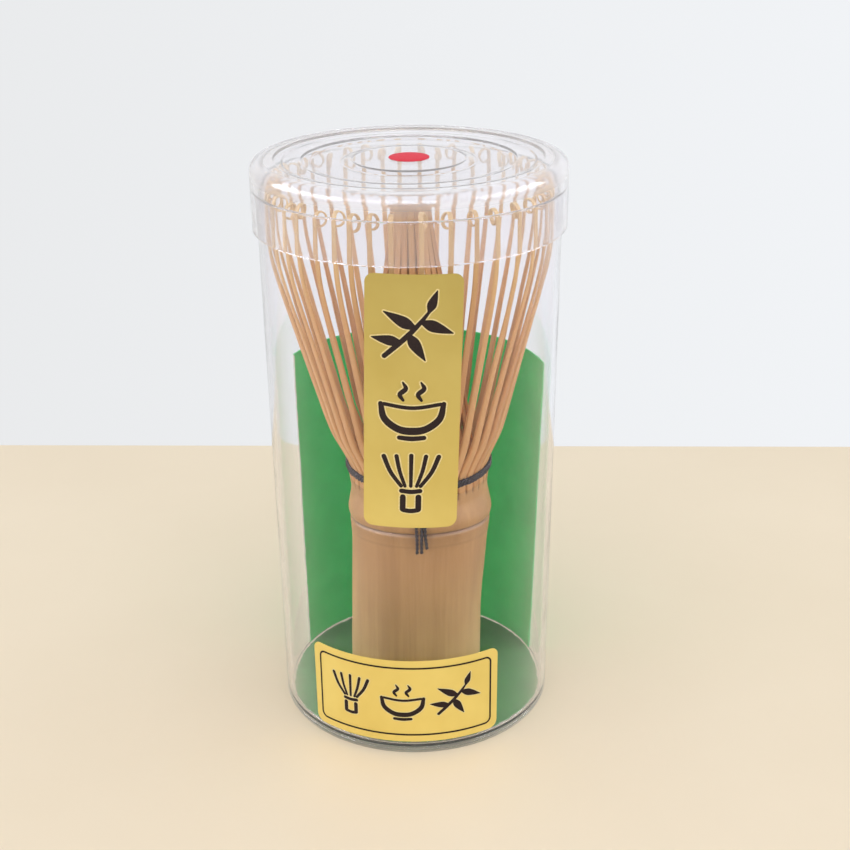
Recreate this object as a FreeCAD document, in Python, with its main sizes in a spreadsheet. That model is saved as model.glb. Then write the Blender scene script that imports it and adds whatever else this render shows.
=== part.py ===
"""Bamboo tea whisk standing in its clear plastic case, with the lid on.

Millimetres, +Z up. The origin is the middle of the case's foot, on the surface that it stands on.
The labels face -Y, which is the front. An angle round the case is counted from the front, positive
towards +X.

The whisk is one length of bamboo: a hollow culm below, which is the handle, and above it the culm's
wall, split into an outer ring of springy tines and an inner set that leans together into a bundle.
A thread holds the two sets apart. Each split is a piece of its own here, and stands on the handle.
"""
import FreeCAD, Part
import os
import re
import Sketcher

OUTER_TINES = 44
INNER_PLACES = 44
TINY = 1e-9

SIZES = [
    # The case: a clear cup, slightly wider at the rim, on a raised foot.
    ("case_base_radius", 31.9),
    ("case_rim_radius", 32.9),
    ("case_height", 124.7),
    ("case_wall", 1.2),
    ("foot_inner_radius", 29.2),
    ("foot_round", 0.6),
    ("foot_recess", 0.8),
    ("floor_level", 2.0),
    ("floor_round", 1.0),
    # The lid: a skirt outside the case, a ledge that stops on its rim, a stepped top.
    ("lid_radius", 34.0),
    ("lid_low", 115.8),
    ("lid_top", 130.4),
    ("lid_wall", 1.2),
    ("lid_fit", 0.05),
    ("lid_ledge", 0.65),
    ("lid_shoulder", 3.6),
    ("lid_lip_round", 0.3),
    ("step_slope", 0.4),
    ("ring_outer_radius", 28.3),
    ("ring_outer_level", 129.8),
    ("ring_inner_radius", 22.4),
    ("ring_inner_level", 129.25),
    ("disc_radius", 13.2),
    ("disc_level", 129.95),
    # Paper and foil.
    ("sticker_gap", 0.01),
    ("sticker_thick", 0.1),
    ("dot_radius", 4.36),
    ("label_round", 2.0),
    ("wide_low", 3.4),
    ("wide_high", 24.9),
    ("wide_span", 80.8),
    ("wide_turn", -5.6),
    ("tall_low", 58.3),
    ("tall_high", 114.2),
    ("tall_width", 19.7),
    ("tall_tilt", -1.68),
    ("tall_turn", -0.15),
    ("tall_sheet_span", 60.0),
    ("trim_margin", 4.0),
    ("card_thick", 0.35),
    ("card_gap", 0.06),
    ("card_low", 2.9),
    ("card_high", 81.0),
    ("card_span", 142.6),
    ("card_turn", 173.7),
    ("base_disc_radius", 29.4),
    ("base_disc_thick", 0.3),
    ("base_disc_gap", 0.02),
    # The culm that is the handle, a little crooked: it leans to +X up to its node.
    ("culm_low", 2.35),
    ("culm_radius", 15.7),
    ("culm_lean", 1.4),
    ("bend_low_level", 13.2),
    ("bend_low_lean", 0.2),
    ("bend_level", 24.1),
    ("bend_lean", 0.35),
    ("bend_high_level", 34.9),
    ("bend_high_lean", 0.95),
    ("bend_high_radius", 15.85),
    ("culm_upper_radius", 16.2),
    ("node_level", 45.8),
    ("node_half_width", 0.5),
    ("node_groove_radius", 15.95),
    ("bulge_level", 48.6),
    ("bulge_radius", 16.8),
    ("neck_level", 53.4),
    ("neck_radius", 15.85),
    ("split_level", 57.0),
    ("split_lean", 1.2),
    ("bore_radius", 11.3),
    ("bore_lean", 0.7),
    ("diaphragm_low", 44.4),
    ("diaphragm_high", 47.6),
    # The thread: three turns round the foot of the tines, a knot and its cut ends.
    ("thread_radius", 0.33),
    ("thread_clear", 0.04),
    ("thread_level", 58.9),
    ("thread_pitch", 0.7),
    ("thread_turns_radius", 16.6),
    ("knot_radius", 0.8),
    ("knot_length", 3.4),
    ("tail_out", 17.62),
    ("tail_low", 44.1),
    ("tail_left", -0.8),
    ("tail_middle", 0.45),
    ("tail_right", 1.45),
    ("tail_shorter", 1.1),
    # The outer tines: they flare from the band, turn upright against the case and curl in at the tip.
    ("band_level", 61.0),
    ("curl_turn", 220.0),
    ("taper_beyond", 4.0),
    ("outer_root_radius", 16.2),
    ("outer_tip_radius", 31.1),
    ("outer_width", 1.9),
    ("outer_tip_width", 1.0),
    ("outer_thick", 1.0),
    ("outer_tip_thick", 0.3),
    ("outer_knee_level", 70.2),
    ("outer_knee_part", 0.25),
    ("outer_upright_level", 115.5),
    ("outer_bend_radius", 38.0),
    ("outer_bend_angle", 15.5),
    ("outer_curl_level", 123.9),
    ("outer_curl_radius", 1.95),
    ("outer_narrow_level", 98.0),
    # The inner tines: they lean in to a bundle, whose tips curl outwards.
    ("inner_root_radius", 13.7),
    ("inner_tip_radius", 4.35),
    ("inner_tip_lean", 0.2),
    ("inner_width", 1.55),
    ("inner_tip_width", 1.0),
    ("inner_thick", 0.55),
    ("inner_tip_thick", 0.3),
    ("inner_layer_step", 0.85),
    ("inner_upright_level", 117.0),
    ("inner_bend_radius", 30.0),
    ("inner_bend_angle", 9.0),
    ("inner_curl_level", 120.45),
    ("inner_curl_radius", 0.75),
    ("inner_layer_drop", 1.6),
    ("inner_narrow_level", 66.0),
]

doc = FreeCAD.newDocument("tea_whisk")
sheet = doc.addObject("Spreadsheet::Sheet", "Sizes")
for row, (alias, amount) in enumerate(SIZES, start=1):
    sheet.set(f"A{row}", alias)
    sheet.set(f"B{row}", str(amount))
    sheet.setAlias(f"B{row}", alias)
doc.recompute()

ALIAS = re.compile(r"\b(" + "|".join(alias for alias, amount in SIZES) + r")\b")
XY_PLANE = "XY_Plane"
XZ_PLANE = "XZ_Plane"
YZ_PLANE = "YZ_Plane"
FRONT = -90.0
nodes = []


def formula(text):
    """A size formula with each alias written as a cell of the Sizes sheet."""
    return ALIAS.sub(lambda found: "Sizes." + found.group(0), str(text))


def size(text):
    """The number that a size formula stands for now."""
    return float(sheet.evalExpression(formula(text)))


def new_body(name, is_node=True):
    """An empty body; a node is a sub-part that is written to a file of its own."""
    body = doc.addObject("PartDesign::Body", name)
    body.Label = name
    if is_node:
        nodes.append(body)
    return body


def place(body, across="0", along="0", turn="0"):
    """Stand a body at (across, along) in plan and turn it about the upright axis."""
    body.Placement = FreeCAD.Placement(FreeCAD.Vector(0, 0, 0), FreeCAD.Rotation(FreeCAD.Vector(0, 0, 1), 0))
    body.setExpression("Placement.Base.x", formula(across))
    body.setExpression("Placement.Base.y", formula(along))
    body.setExpression("Placement.Rotation.Angle", formula(turn))


def sketch_on(body, plane, name, level="0", tilt="0"):
    """A sketch on one of the body's own origin planes, lifted along the plane's normal."""
    sketch = body.newObject("Sketcher::SketchObject", name)
    for feature in body.Origin.OriginFeatures:
        if feature.Role == plane:
            sketch.AttachmentSupport = [(feature, "")]
    sketch.MapMode = "FlatFace"
    sketch.AttachmentOffset = FreeCAD.Placement(
        FreeCAD.Vector(0, 0, size(level)), FreeCAD.Rotation(FreeCAD.Vector(0, 0, 1), size(tilt)))
    sketch.setExpression("AttachmentOffset.Base.z", formula(level))
    sketch.setExpression("AttachmentOffset.Rotation.Angle", formula(tilt))
    return sketch


def pin(sketch, geometry, end, across, up):
    """Hold one point of the sketch at (across, up), each a size formula."""
    for kind, axis, text in (("DistanceX", -2, across), ("DistanceY", -1, up)):
        amount = size(text)
        if abs(amount) < TINY:
            sketch.addConstraint(Sketcher.Constraint("PointOnObject", geometry, end, axis))
        elif amount > 0:
            number = sketch.addConstraint(Sketcher.Constraint(kind, -1, 1, geometry, end, amount))
            sketch.setExpression(f"Constraints[{number}]", formula(text))
        else:
            number = sketch.addConstraint(Sketcher.Constraint(kind, geometry, end, -1, 1, -amount))
            sketch.setExpression(f"Constraints[{number}]", formula(f"-({text})"))


def circle(sketch, across, up, radius):
    """Draw a circle whose centre and radius are size formulas."""
    middle = FreeCAD.Vector(size(across), size(up), 0)
    geometry = sketch.addGeometry(Part.Circle(middle, FreeCAD.Vector(0, 0, 1), size(radius)), False)
    pin(sketch, geometry, 3, across, up)
    number = sketch.addConstraint(Sketcher.Constraint("Radius", geometry, size(radius)))
    sketch.setExpression(f"Constraints[{number}]", formula(radius))


def arc_edge(start, stop, radius, bulge):
    """An arc of under half a turn from start to stop, and which of its ends the start is."""
    chord = stop - start
    middle = (start + stop) * 0.5
    left = FreeCAD.Vector(-chord.y, chord.x, 0).normalize()
    reach = max(radius ** 2 - (chord.Length / 2) ** 2, 0.0) ** 0.5
    side = 1 if bulge == "right" else -1
    centre = middle + left * (reach * side)
    whole = Part.Circle(centre, FreeCAD.Vector(0, 0, 1), radius)
    first, last = (start, stop) if bulge == "right" else (stop, start)
    arc = Part.ArcOfCircle(whole, whole.parameter(first), whole.parameter(last))
    return arc, (1, 2) if bulge == "right" else (2, 1)


def outline(sketch, corners):
    """Draw a closed outline. Each corner is (across, up), two size formulas.

    A corner with two more items, the side it bulges to ("left" or "right" of the way that the outline
    runs) and a radius, starts an arc instead of a straight edge.
    """
    places = [FreeCAD.Vector(size(corner[0]), size(corner[1]), 0) for corner in corners]
    edges = []
    for number, corner in enumerate(corners):
        start = places[number]
        stop = places[(number + 1) % len(places)]
        if len(corner) == 2:
            edges.append((sketch.addGeometry(Part.LineSegment(start, stop), False), (1, 2)))
            continue
        arc, ends = arc_edge(start, stop, size(corner[3]), corner[2])
        edges.append((sketch.addGeometry(arc, False), ends))
    for number, corner in enumerate(corners):
        edge, ends = edges[number]
        before, before_ends = edges[number - 1]
        sketch.addConstraint(Sketcher.Constraint("Coincident", before, before_ends[1], edge, ends[0]))
        pin(sketch, edge, ends[0], corner[0], corner[1])
        if len(corner) == 4:
            constraint = sketch.addConstraint(Sketcher.Constraint("Radius", edge, size(corner[3])))
            sketch.setExpression(f"Constraints[{constraint}]", formula(corner[3]))


def revolve(body, corners, span="360"):
    """Turn an outline of (radius, level) corners about the upright axis, centred on the body's +X."""
    sketch = sketch_on(body, XZ_PLANE, body.Name + "_outline")
    outline(sketch, corners)
    turned = body.newObject("PartDesign::Revolution", body.Name + "_turned")
    turned.Profile = sketch
    turned.ReferenceAxis = (sketch, ["V_Axis"])
    turned.Midplane = True
    turned.setExpression("Angle", formula(span))
    return turned


def pad(body, sketch, length, symmetric=False):
    """Pad a sketch along its plane's normal, or both ways from it."""
    raised = body.newObject("PartDesign::Pad", sketch.Name + "_pad")
    raised.Profile = sketch
    raised.setExpression("Length", formula(length))
    if symmetric:
        raised.SideType = "Symmetric"
    return raised


def cut(body, sketch, length=None, forwards=False):
    """Pocket a sketch against its plane's normal, or forwards along it; right through with no length."""
    doc.recompute()
    before = body.Shape.Volume
    pocket = body.newObject("PartDesign::Pocket", sketch.Name + "_cut")
    pocket.Profile = sketch
    pocket.Reversed = forwards
    if length is None:
        pocket.Type = "ThroughAll"
    else:
        pocket.setExpression("Length", formula(length))
    doc.recompute()
    if body.Shape.Volume > before - TINY:
        raise RuntimeError(f"{pocket.Name} cut nothing")
    return pocket


def case_surface(level):
    """The case's outer radius at a level."""
    return f"case_base_radius + (case_rim_radius - case_base_radius) * ({level}) / case_height"


def on_case(low, high, inner, thick):
    """The section of a thin sheet that follows the case's wall, inner beyond its outer surface."""
    return [
        (f"{case_surface(low)} + ({inner})", low),
        (f"{case_surface(low)} + ({inner}) + {thick}", low),
        (f"{case_surface(high)} + ({inner}) + {thick}", high),
        (f"{case_surface(high)} + ({inner})", high),
    ]


# ---- The case and its lid -------------------------------------------------------------------------

def make_case_body():
    """Clear cup: foot ring, raised floor, tapered wall."""
    inner_low = f"{case_surface('floor_level + floor_round')} - case_wall"
    body = new_body("case_body")
    revolve(body, [
        ("0", "foot_recess"),
        ("foot_inner_radius", "foot_recess"),
        ("foot_inner_radius", "0"),
        ("case_base_radius - foot_round", "0", "right", "foot_round"),
        ("case_base_radius", "foot_round"),
        ("case_rim_radius", "case_height"),
        ("case_rim_radius - case_wall", "case_height"),
        (inner_low, "floor_level + floor_round", "left", "floor_round"),
        (f"{inner_low} - floor_round", "floor_level"),
        ("0", "floor_level"),
    ])


def make_case_lid():
    """Push-on lid: skirt, stop ledge over the case's rim, round shoulder, top stepped in rings."""
    skirt = "case_rim_radius + lid_fit"
    stop = "case_height + lid_fit"
    chimney = f"{skirt} - lid_ledge"
    under = "lid_top - lid_wall"
    crown = "lid_radius - lid_shoulder"
    body = new_body("case_lid")
    revolve(body, [
        (skirt, "lid_low"),
        ("lid_radius - lid_lip_round", "lid_low", "right", "lid_lip_round"),
        ("lid_radius", "lid_low + lid_lip_round"),
        ("lid_radius", "lid_top - lid_shoulder", "right", "lid_shoulder"),
        (crown, "lid_top"),
        ("ring_outer_radius", "lid_top"),
        ("ring_outer_radius - step_slope", "ring_outer_level"),
        ("ring_inner_radius", "ring_outer_level"),
        ("ring_inner_radius - step_slope", "ring_inner_level"),
        ("disc_radius + step_slope", "ring_inner_level"),
        ("disc_radius", "disc_level"),
        ("0", "disc_level"),
        ("0", "disc_level - lid_wall"),
        ("disc_radius", "disc_level - lid_wall"),
        ("disc_radius + step_slope", "ring_inner_level - lid_wall"),
        ("ring_inner_radius - step_slope", "ring_inner_level - lid_wall"),
        ("ring_inner_radius", "ring_outer_level - lid_wall"),
        ("ring_outer_radius - step_slope", "ring_outer_level - lid_wall"),
        ("ring_outer_radius", under),
        (crown, under, "left", f"{chimney} - ({crown})"),
        (chimney, f"{under} - ({chimney}) + {crown}"),
        (chimney, stop),
        (skirt, stop),
    ])


def make_flat_disc(name, radius, low, thick):
    """Thin round disc of paper lying level."""
    body = new_body(name)
    sketch = sketch_on(body, XY_PLANE, name + "_outline", level=low)
    circle(sketch, "0", "0", radius)
    pad(body, sketch, thick)


def make_wide_label():
    """Foil label round the lower front of the case, with rounded corners."""
    body = new_body("wide_label")
    section = on_case("wide_low", "wide_high", "sticker_gap", "sticker_thick")
    sheet_of_foil = revolve(body, section, "wide_span")
    doc.recompute()
    thickness = size("sticker_thick")
    corners = [
        f"Edge{number}" for number, edge in enumerate(sheet_of_foil.Shape.Edges, start=1)
        if edge.Length < thickness * 1.5
    ]
    rounded = body.newObject("PartDesign::Fillet", "wide_label_corners")
    rounded.Base = (sheet_of_foil, corners)
    rounded.setExpression("Radius", formula("label_round"))
    place(body, turn=f"{FRONT} + wide_turn")


def rounded_rectangle(sketch, half_width, low, high, radius):
    """Draw an upright rectangle with round corners, centred across."""
    outline(sketch, [
        (f"{radius} - ({half_width})", low),
        (f"{half_width} - {radius}", low, "right", radius),
        (half_width, f"{low} + {radius}"),
        (half_width, f"{high} - {radius}", "right", radius),
        (f"{half_width} - {radius}", high),
        (f"{radius} - ({half_width})", high, "right", radius),
        (f"-({half_width})", f"{high} - {radius}"),
        (f"-({half_width})", f"{low} + {radius}", "right", radius),
    ])


def make_tall_label():
    """Foil label up the front of the case, stuck on slightly askew: a wrapped sheet, trimmed to shape."""
    body = new_body("tall_label")
    low = "tall_low - trim_margin"
    high = "tall_high + trim_margin"
    revolve(body, on_case(low, high, "sticker_gap", "sticker_thick"), "tall_sheet_span")
    middle = "(tall_low + tall_high) / 2"
    half_height = "(tall_high - tall_low) / 2"
    trim = sketch_on(body, YZ_PLANE, "tall_label_trim", tilt="tall_tilt")
    trim.setExpression("AttachmentOffset.Base.y", formula(middle))
    beyond = "case_rim_radius"
    end = f"{half_height} + trim_margin * 2"
    outline(trim, [(f"-{beyond}", f"-({end})"), (beyond, f"-({end})"), (beyond, end), (f"-{beyond}", end)])
    rounded_rectangle(trim, "tall_width / 2", f"-({half_height})", half_height, "label_round")
    cut(body, trim, forwards=True)
    place(body, turn=f"{FRONT} + tall_turn")


def make_green_card():
    """Card curled against the inside of the case's wall, behind the whisk."""
    body = new_body("green_card")
    inner = "-(case_wall + card_gap + card_thick)"
    revolve(body, on_case("card_low", "card_high", inner, "card_thick"), "card_span")
    place(body, turn=f"{FRONT} + card_turn")


# ---- The whisk's handle and thread ----------------------------------------------------------------

def make_handle():
    """Bamboo culm: lofted through its rings of growth, bored from both ends up to the node's wall."""
    rings = [
        ("culm_low", "0", "culm_radius"),
        ("bend_low_level", "bend_low_lean", "culm_radius"),
        ("bend_level", "bend_lean", "culm_radius"),
        ("bend_high_level", "bend_high_lean", "bend_high_radius"),
        ("node_level - node_half_width", "culm_lean", "culm_upper_radius"),
        ("node_level", "culm_lean", "node_groove_radius"),
        ("node_level + node_half_width", "culm_lean", "culm_upper_radius"),
        ("bulge_level", "culm_lean", "bulge_radius"),
        ("(bulge_level + neck_level) / 2", "culm_lean", "(bulge_radius + neck_radius) / 2"),
        ("neck_level", "culm_lean", "neck_radius"),
        ("split_level", "split_lean", "outer_root_radius"),
    ]
    body = new_body("whisk_handle")
    sections = []
    for number, (level, across, radius) in enumerate(rings):
        section = sketch_on(body, XY_PLANE, f"culm_ring_{number}", level=level)
        circle(section, across, "0", radius)
        sections.append(section)
    culm = body.newObject("PartDesign::AdditiveLoft", "culm")
    culm.Profile = sections[0]
    culm.Sections = sections[1:]
    culm.Ruled = True
    lower_bore = sketch_on(body, XY_PLANE, "lower_bore", level="culm_low")
    circle(lower_bore, "bore_lean", "0", "bore_radius")
    cut(body, lower_bore, "diaphragm_low - culm_low", forwards=True)
    upper_bore = sketch_on(body, XY_PLANE, "upper_bore", level="split_level")
    circle(upper_bore, "split_lean", "0", "bore_radius")
    cut(body, upper_bore, "split_level - diaphragm_high")


def make_thread():
    """Three turns of thread round the foot of the outer tines."""
    body = new_body("binding_thread")
    sketch = sketch_on(body, XZ_PLANE, "thread_turns")
    for turn in range(3):
        circle(sketch, "thread_turns_radius", f"thread_level + thread_pitch * {turn}", "thread_radius")
    wound = body.newObject("PartDesign::Revolution", "thread_wound")
    wound.Profile = sketch
    wound.ReferenceAxis = (sketch, ["V_Axis"])
    wound.Angle = 360
    place(body, across="split_lean")


def make_thread_tails():
    """The thread's knot, at the front of the band, and its cut ends hanging past the node."""
    tails = [
        ("tail_left", "tail_low"),
        ("tail_middle", "tail_low"),
        ("tail_right", "tail_low + tail_shorter"),
    ]
    knot_level = "thread_level + thread_pitch"
    body = new_body("thread_tails")
    knot = sketch_on(body, YZ_PLANE, "knot")
    knot_out = "thread_turns_radius + thread_radius + thread_clear + knot_radius"
    circle(knot, f"-({knot_out})", knot_level, "knot_radius")
    pad(body, knot, "knot_length", symmetric=True)
    for number, (across, end) in enumerate(tails):
        tail = sketch_on(body, XY_PLANE, f"tail_{number}", level=end)
        circle(tail, across, "-tail_out", "thread_radius")
        pad(body, tail, f"{knot_level} - ({end})")
    place(body, across="split_lean")


# ---- The tines ------------------------------------------------------------------------------------

def on_curl(reach, level, curl, radius, angle):
    """A point on a tine's curl, at an angle from the way that the tine was leaning out."""
    return (f"{reach} - {curl} + ({radius}) * cos({angle})", f"{level} + ({radius}) * sin({angle})")


def tine_outline(kind, reach, level_change, curled):
    """Side view of a tine. Its face on the leaning side starts at 0 and ends at reach."""
    thick = f"{kind}_thick"
    tip_thick = f"{kind}_tip_thick"
    upright = f"{kind}_upright_level"
    curl_level = f"{kind}_curl_level + ({level_change})"
    bend_run = f"{kind}_bend_radius * (1 - cos({kind}_bend_angle))"
    bend_rise = f"{kind}_bend_radius * sin({kind}_bend_angle)"
    knee = [("outer_knee_part * (" + reach + ")", "outer_knee_level")] if kind == "outer" else []
    face = [("0", "split_level"), ("0", "band_level")] + knee
    face.append((f"{reach} - {bend_run}", f"{upright} - {bend_rise}", "right", f"{kind}_bend_radius"))
    face.append((reach, upright))
    back = [
        (f"{reach} - {tip_thick}", upright, "left", f"{kind}_bend_radius - {tip_thick}"),
        (f"{reach} - {bend_run} - ({thick} + {tip_thick}) / 2", f"{upright} - {bend_rise}"),
    ]
    back += [(f"{knee[0][0]} - {thick}", "outer_knee_level")] if knee else []
    back += [(f"-{thick}", "band_level"), (f"-{thick}", "split_level")]
    if not curled:
        return face + [(reach, curl_level), (f"{reach} - {tip_thick}", curl_level)] + back
    curl = f"{kind}_curl_radius"
    inside = f"{curl} - {tip_thick}"
    half_turn = "curl_turn / 2"
    around = [(reach, curl_level, "right", curl)]
    around.append(on_curl(reach, curl_level, curl, curl, half_turn) + ("right", curl))
    around.append(on_curl(reach, curl_level, curl, curl, "curl_turn"))
    around.append(on_curl(reach, curl_level, curl, inside, "curl_turn") + ("left", inside))
    around.append(on_curl(reach, curl_level, curl, inside, half_turn) + ("left", inside))
    around.append((f"{reach} - {tip_thick}", curl_level))
    return face + around + back


def make_tine(name, kind, root, tip, level_change="0", curled=True, is_node=True):
    """One split of bamboo from root to tip, two (across, along) points in plan, on its leaning face."""
    run = (f"({tip[0]} - ({root[0]}))", f"({tip[1]} - ({root[1]}))")
    reach = f"sqrt({run[0]} ^ 2 + {run[1]} ^ 2)"
    body = new_body(name, is_node)
    side = sketch_on(body, XZ_PLANE, name + "_side")
    outline(side, tine_outline(kind, reach, level_change, curled))
    pad(body, side, f"{kind}_width", symmetric=True)
    top = f"{kind}_curl_level + {kind}_curl_radius + taper_beyond"
    taper = sketch_on(body, YZ_PLANE, name + "_taper", level=f"-{kind}_width - taper_beyond")
    for sign in ("", "-"):
        outline(taper, [
            (f"{sign}{kind}_width / 2", f"{kind}_narrow_level"),
            (f"{sign}{kind}_width", f"{kind}_narrow_level"),
            (f"{sign}{kind}_width", top),
            (f"{sign}{kind}_tip_width / 2", top),
            (f"{sign}{kind}_tip_width / 2", f"{kind}_upright_level"),
        ])
    cut(body, taper, forwards=True)
    place(body, root[0], root[1], f"atan2({run[1]}; {run[0]})")
    return body


def plan_point(radius, angle, lean):
    """A point in plan on a circle of that radius, whose centre is moved to +X by lean."""
    return (f"{lean} + ({radius}) * sin({angle})", f"-({radius}) * cos({angle})")


def make_outer_tines():
    """The outer ring of tines, one node each, counted from the front towards +X."""
    for number in range(OUTER_TINES):
        angle = 360 * (number + 0.5) / OUTER_TINES
        root = plan_point("outer_root_radius", angle, "split_lean")
        tip = plan_point("outer_tip_radius", angle, "0")
        make_tine(f"outer_tine_{number + 1:02d}", "outer", root, tip)


def make_inner_tines():
    """The inner tines in three layers: the outermost carries curled tips, the others end plain."""
    layers = [
        ("inner_tines_rim", 0, [0, 2], True),
        ("inner_tines_middle", 1, [1], False),
        ("inner_tines_core", 2, [3], False),
    ]
    for name, depth, places, curled in layers:
        tines = []
        inwards = f"inner_layer_step * {depth}"
        for number in range(INNER_PLACES):
            if number % 4 not in places:
                continue
            angle = 360 * number / INNER_PLACES
            root = plan_point(f"inner_root_radius - {inwards}", angle, "split_lean")
            tip = plan_point(f"inner_tip_radius - {inwards}", angle, "inner_tip_lean")
            drop = f"-inner_layer_drop * {depth}"
            tine_name = f"{name}_{number}"
            tines.append(make_tine(tine_name, "inner", root, tip, drop, curled, is_node=False))
        group = doc.addObject("Part::Compound", name)
        group.Label = name
        group.Links = tines
        nodes.append(group)


make_case_body()
make_case_lid()
make_flat_disc("red_dot_sticker", "dot_radius", "disc_level + sticker_gap", "sticker_thick")
make_flat_disc("green_base_disc", "base_disc_radius", "floor_level + base_disc_gap", "base_disc_thick")
make_wide_label()
make_tall_label()
make_green_card()
make_handle()
make_thread()
make_thread_tails()
make_outer_tines()
make_inner_tines()
doc.recompute()

for item in doc.Objects:
    if "Invalid" in item.State or "Error" in item.State:
        raise RuntimeError(f"{item.Name} failed: {item.State}")
for node in nodes:
    if node.Shape.isNull() or not node.Shape.isValid():
        raise RuntimeError(f"{node.Label} has no sound shape")

os.makedirs("parts", exist_ok=True)
for node in nodes:
    node.Shape.exportStep(f"parts/{node.Label}.step")
    box = node.Shape.BoundBox
    print(f"{node.Label}: {len(node.Shape.Solids)} solids, {node.Shape.Volume:.1f} mm3, "
          f"z {box.ZMin:.2f} to {box.ZMax:.2f}, x {box.XMin:.2f} to {box.XMax:.2f}")
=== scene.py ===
"""Looks of a bamboo tea whisk standing in its clear plastic case.

Metres, +Z up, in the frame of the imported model. The labels face -Y, which is the front. An angle round
the case is counted from the front, positive towards +X.
"""

from contextlib import contextmanager
import math
import random

import bmesh
import bpy
from mathutils import Matrix, Vector


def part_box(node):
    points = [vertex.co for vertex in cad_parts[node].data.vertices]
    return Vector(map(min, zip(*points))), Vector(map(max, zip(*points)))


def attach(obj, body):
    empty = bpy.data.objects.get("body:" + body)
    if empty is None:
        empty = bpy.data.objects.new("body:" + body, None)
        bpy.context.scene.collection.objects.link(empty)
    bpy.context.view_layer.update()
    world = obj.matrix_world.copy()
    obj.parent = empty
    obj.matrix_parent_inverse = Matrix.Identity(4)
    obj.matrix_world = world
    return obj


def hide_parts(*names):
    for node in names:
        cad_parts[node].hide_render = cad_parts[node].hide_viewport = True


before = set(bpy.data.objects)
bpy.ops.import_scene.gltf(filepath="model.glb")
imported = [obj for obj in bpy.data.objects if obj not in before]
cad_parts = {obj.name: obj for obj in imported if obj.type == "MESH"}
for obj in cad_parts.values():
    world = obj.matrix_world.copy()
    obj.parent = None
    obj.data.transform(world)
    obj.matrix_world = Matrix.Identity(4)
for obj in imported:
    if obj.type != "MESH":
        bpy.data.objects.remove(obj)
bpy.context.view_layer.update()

MM = 0.001
TURN = 2 * math.pi
random.seed(12)


# ---- Sizes, from the frame and in millimetres ----

def node_box(name):
    """A CAD node's lowest and highest corner, in millimetres."""
    low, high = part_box(name)
    return low / MM, high / MM


_, CASE_HIGH = node_box("case_body")
LID_LOW, LID_HIGH = node_box("case_lid")
WIDE_LOW, WIDE_HIGH = node_box("wide_label")
TALL_LOW, TALL_HIGH = node_box("tall_label")
CARD_LOW, CARD_HIGH = node_box("green_card")
CULM_LOW, CULM_HIGH = node_box("whisk_handle")
THREAD_LOW, THREAD_HIGH = node_box("binding_thread")
TAILS_LOW, _ = node_box("thread_tails")

CASE_RIM_RADIUS = CASE_HIGH.x
CASE_BASE_RADIUS = CASE_RIM_RADIUS - 1.0
CASE_WALL = 1.2
SHEET_THICK = 0.11
OUTER_TINES = sum(name.startswith("outer_tine_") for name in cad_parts)
INNER_PLACES = 44
CARD_LEFT = -115.0  # the card's upright edges, in degrees round the case
CARD_RIGHT = 106.7
CARD_THICK = 0.35
SPLIT_LEVEL = CULM_HIGH.z
SPLIT_LEAN = (THREAD_LOW.x + THREAD_HIGH.x) / 2
OUTER_ROOT_RADIUS = 16.2
OUTER_TIP_RADIUS = 31.1
INNER_ROOT_RADIUS = 13.7
INNER_TIP_RADIUS = 4.35
INNER_TOP = 120.3
CURL_LEVEL = 123.75
PLY_SHARE = 0.62  # a thread's ply against the thread's own radius
PLY_TWIST = 3.0  # radians in a millimetre
PRINT_THICK = 0.02


def case_radius(level):
    """The case's outer radius at a level."""
    return CASE_BASE_RADIUS + (CASE_RIM_RADIUS - CASE_BASE_RADIUS) * level / CASE_HIGH.z


def around(angle, radius, level):
    """A point at an angle round the case's axis, in millimetres."""
    return Vector((radius * math.sin(angle), -radius * math.cos(angle), level))


def smooth_step(low, high, value):
    """0 below low, 1 above high, and a smooth rise between them."""
    share = min(max((value - low) / (high - low), 0.0), 1.0)
    return share * share * (3 - 2 * share)


def through(places, at):
    """A smooth line through (at, value) places in order, read at one place."""
    if at <= places[0][0]:
        return places[0][1]
    if at >= places[-1][0]:
        return places[-1][1]
    slopes = []
    for before, after in zip([places[0], *places], [*places[1:], places[-1]]):
        slopes.append((after[1] - before[1]) / (after[0] - before[0]))
    number = next(n for n in range(len(places) - 1) if at <= places[n + 1][0])
    (start, low), (stop, high) = places[number], places[number + 1]
    run = stop - start
    share = (at - start) / run
    keep_low = 2 * share ** 3 - 3 * share ** 2 + 1
    leave = share ** 3 - 2 * share ** 2 + share
    keep_high = 3 * share ** 2 - 2 * share ** 3
    arrive = share ** 3 - share ** 2
    value = keep_low * low + leave * run * slopes[number]
    return value + keep_high * high + arrive * run * slopes[number + 1]


# ---- Materials ----

def new_material(name):
    """A node material, its nodes, and the Principled shader wired to its output."""
    material = bpy.data.materials.new(name)
    material.use_nodes = True
    nodes = material.node_tree.nodes
    return material, nodes, nodes["Principled BSDF"]


def add(nodes, kind, **values):
    """A shader node with some of its properties and inputs set."""
    node = nodes.new(kind)
    for key, value in values.items():
        if key in node.inputs:
            node.inputs[key].default_value = value
        else:
            setattr(node, key, value)
    return node


def link(start, output, stop, entry):
    """Join an output of one node to an input of another."""
    start.id_data.links.new(start.outputs[output], stop.inputs[entry])


def ramp(nodes, *stops):
    """A colour ramp with (place, colour) stops, colours as linear red, green and blue."""
    node = nodes.new("ShaderNodeValToRGB")
    elements = node.color_ramp.elements
    elements[0].position, elements[-1].position = stops[0][0], stops[-1][0]
    elements[0].color, elements[-1].color = (*stops[0][1], 1), (*stops[-1][1], 1)
    for place, colour in stops[1:-1]:
        elements.new(place).color = (*colour, 1)
    return node


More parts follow.
